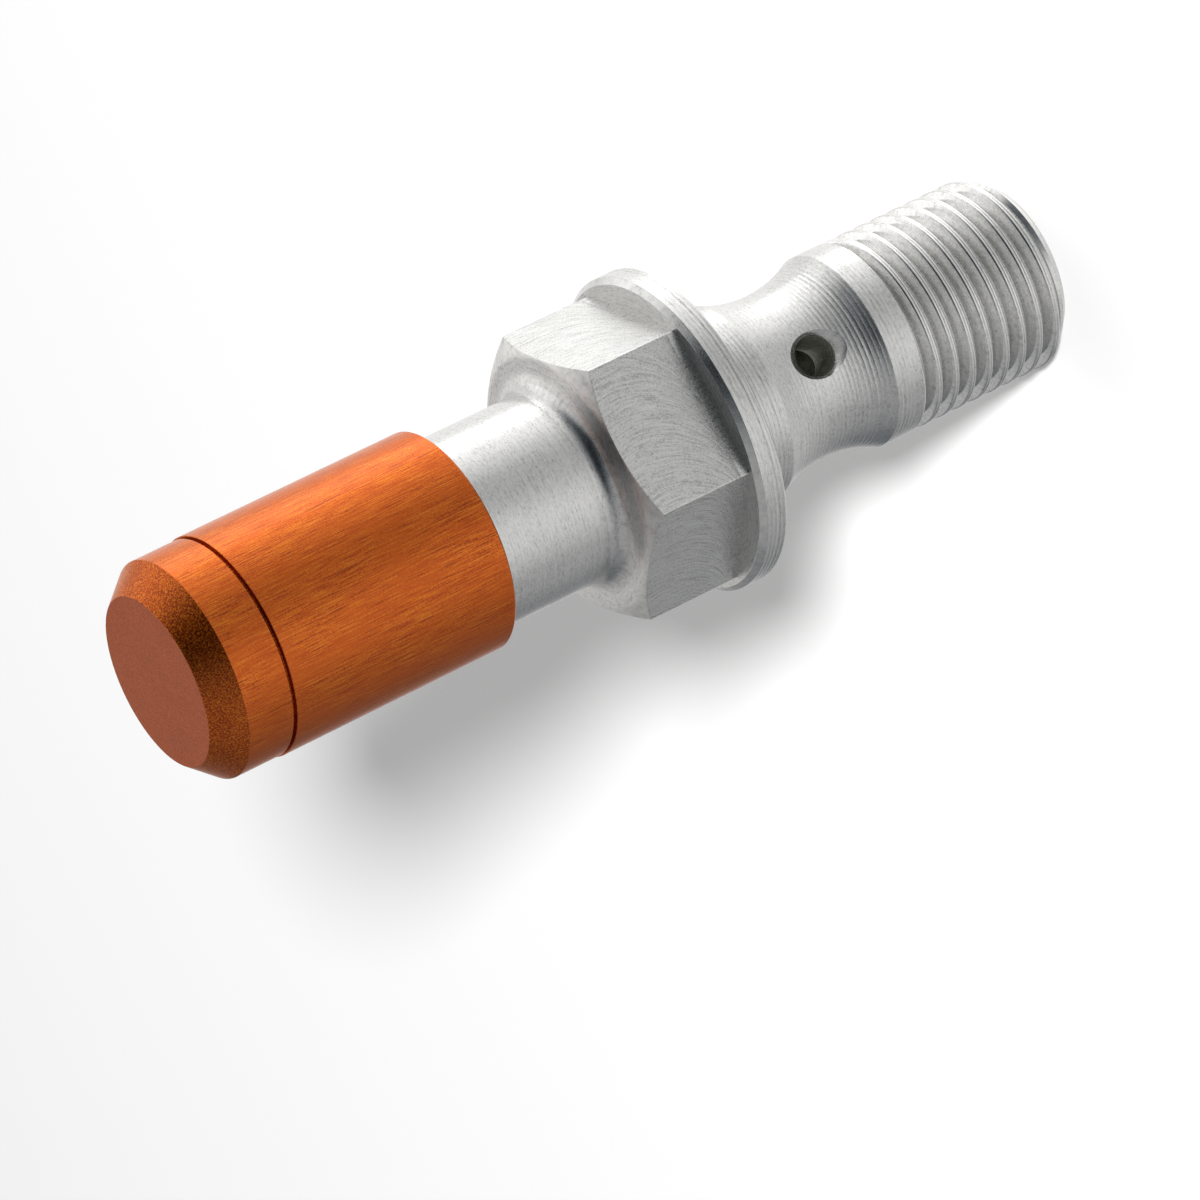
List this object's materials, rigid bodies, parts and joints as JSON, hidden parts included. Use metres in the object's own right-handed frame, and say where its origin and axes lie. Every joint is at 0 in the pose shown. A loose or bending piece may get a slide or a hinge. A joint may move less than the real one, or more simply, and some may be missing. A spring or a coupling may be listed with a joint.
{
  "type": "banjo bolt",
  "caption": "Hollow threaded bolt with a cross-drilled waist, flanged hexagon head, bleed valve inside a tall neck and a push-on anodised dust cap.",
  "frame": {"origin": "centre of the thread's flat end face, which is the face the bolt stands on", "axes": "+Z along the bolt's axis, from the thread's end to the dust cap; Y along the cross-drilling, through two opposite flats of the hexagon; X through two opposite corners of the hexagon"},
  "size_m": [0.0162, 0.016, 0.0493],
  "materials": {
    "bolt_steel": "machined stainless steel, satin with turning marks",
    "anodised_cap": "orange anodised, brushed along the axis",
    "seal_rubber": "matt black",
    "valve_steel": "machined, satin",
    "ball_steel": "polished bearing steel",
    "spring_steel": "drawn wire",
    "bush_brass": "machined, satin"
  },
  "bodies": {
    "bolt": {"bolt_body": "bolt_steel", "cap_o_ring": "seal_rubber"},
    "cap": {"dust_cap": "anodised_cap"},
    "valve_seal": {"screw_o_ring": "seal_rubber"},
    "valve_screw": {"bleed_screw": "valve_steel", "check_spring": "spring_steel", "spring_bush": "bush_brass"},
    "ball": {"check_ball": "ball_steel"}
  },
  "joints": [
    {"name": "cap_pull", "type": "slide", "parent": "bolt", "child": "cap", "axis": [0, 0, 1], "range_m": [0, 0.02]},
    {"name": "valve_lift", "type": "slide", "parent": "bolt", "child": "valve_seal", "axis": [0, 0, 1], "range_m": [0, 0.001]},
    {"name": "valve_turn", "type": "hinge", "parent": "valve_seal", "child": "valve_screw", "pos_m": [0, 0, 0.03], "axis": [0, 0, 1], "range_deg": [0, 360]},
    {"name": "ball_lift", "type": "slide", "parent": "valve_screw", "child": "ball", "axis": [0, 0, 1], "range_m": [0, 0.0006], "stiffness_N_per_m": 100, "springref_m": -0.0007, "deforming": ["check_spring"]}
  ],
  "couplings": [
    {"joint": "valve_turn", "follows": "valve_lift", "rad_per_m": 6283.2}
  ]
}
